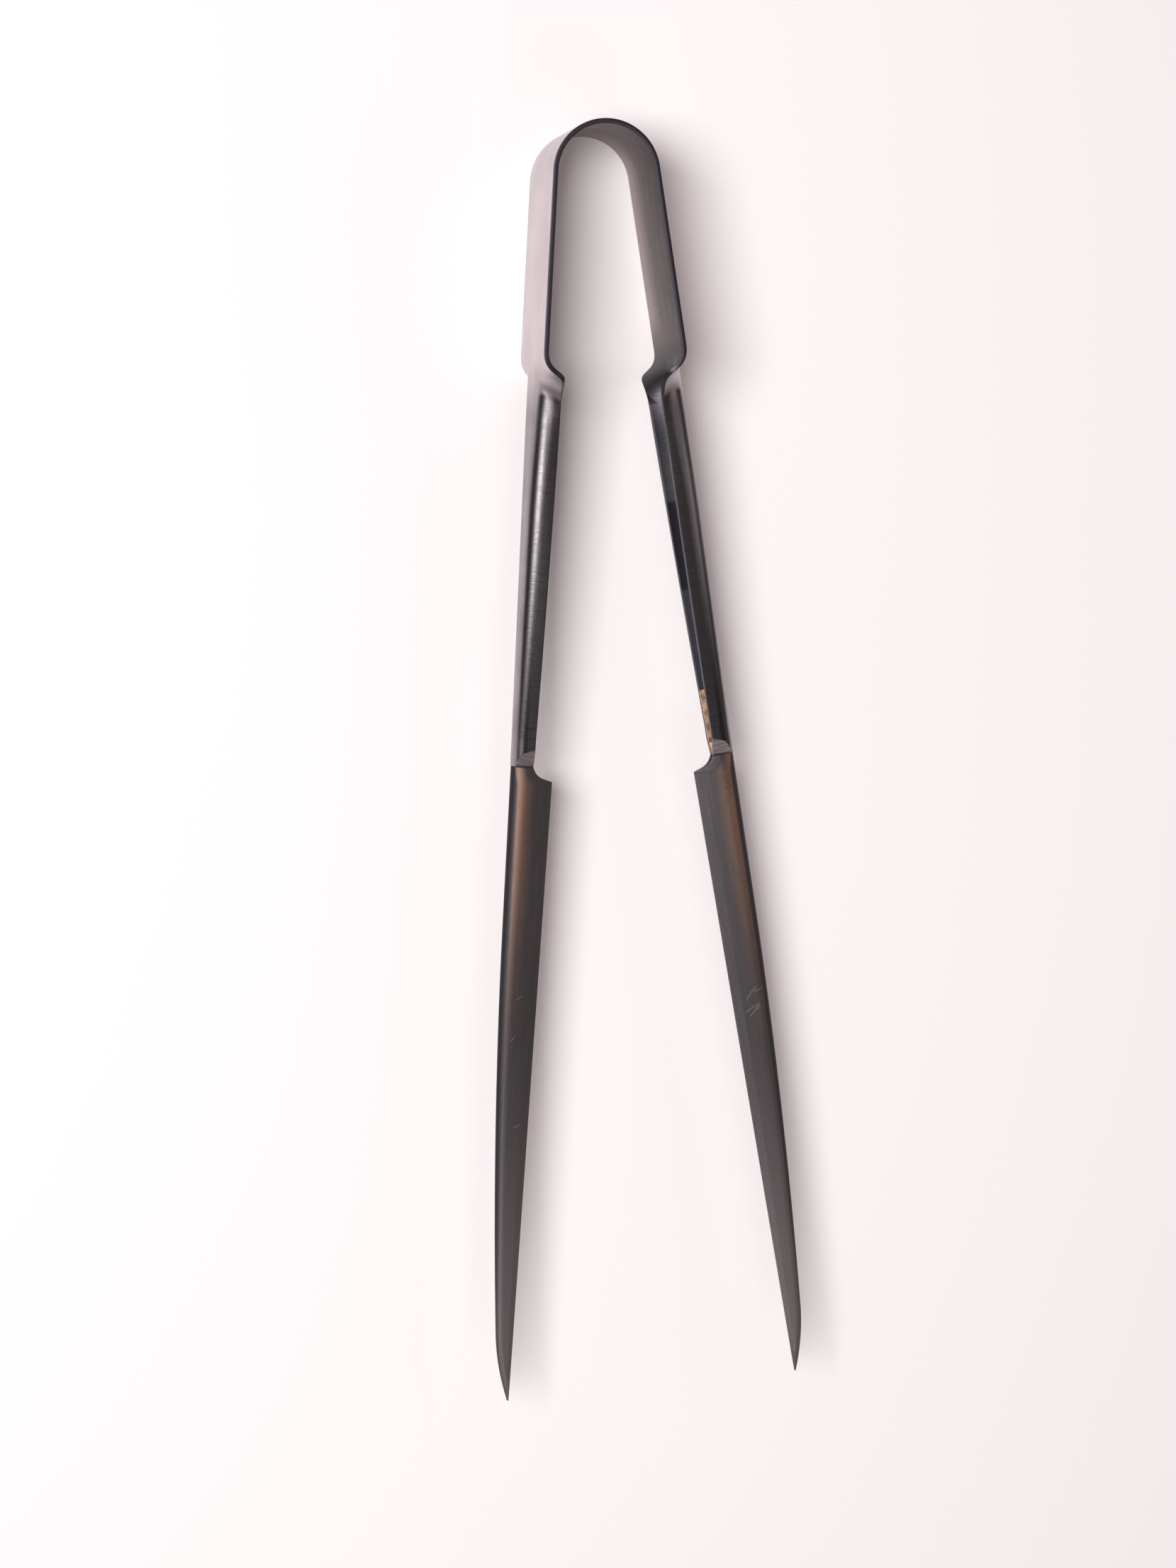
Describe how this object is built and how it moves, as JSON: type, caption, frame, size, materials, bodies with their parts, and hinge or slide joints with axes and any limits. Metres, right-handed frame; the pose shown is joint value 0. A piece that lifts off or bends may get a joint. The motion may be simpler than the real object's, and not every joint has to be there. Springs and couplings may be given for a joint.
{
  "type": "spring loaded kitchen tongs",
  "caption": "Sprung steel tongs: a round bow joins two arms whose flat handles roll into channels ending in long tapering folded blades.",
  "frame": {"origin": "on the resting plane, under the middle of the tongs' length and width", "axes": "+X across the arms, +Y along the tongs towards the bow, +Z across the width of the strip, up from the edge it lies on"},
  "size_m": [0.0766, 0.305, 0.029],
  "materials": {
    "tinted_steel": "satin, dark, heat tinted",
    "blade_steel": "satin, dark bronze heat tint",
    "braze_metal": "dull, uneven"
  },
  "bodies": {
    "bow": {"spring_bow": "tinted_steel"},
    "left_side": {"left_arm": "tinted_steel", "left_blade": "blade_steel", "left_braze": "braze_metal"},
    "right_side": {"right_arm": "tinted_steel", "right_blade": "blade_steel", "right_braze": "braze_metal"}
  },
  "joints": [
    {"name": "left_squeeze", "type": "hinge", "parent": "bow", "child": "left_side", "pos_m": [-0.01175, 0.13892, 0.0145], "axis": [0, 0, 1], "range_deg": [0, 7], "stiffness_Nm_per_rad": 8},
    {"name": "right_squeeze", "type": "hinge", "parent": "bow", "child": "right_side", "pos_m": [0.01175, 0.13892, 0.0145], "axis": [0, 0, 1], "range_deg": [-7, 0], "stiffness_Nm_per_rad": 8}
  ],
  "couplings": [
    {"joint": "right_squeeze", "follows": "left_squeeze", "ratio": -1}
  ]
}
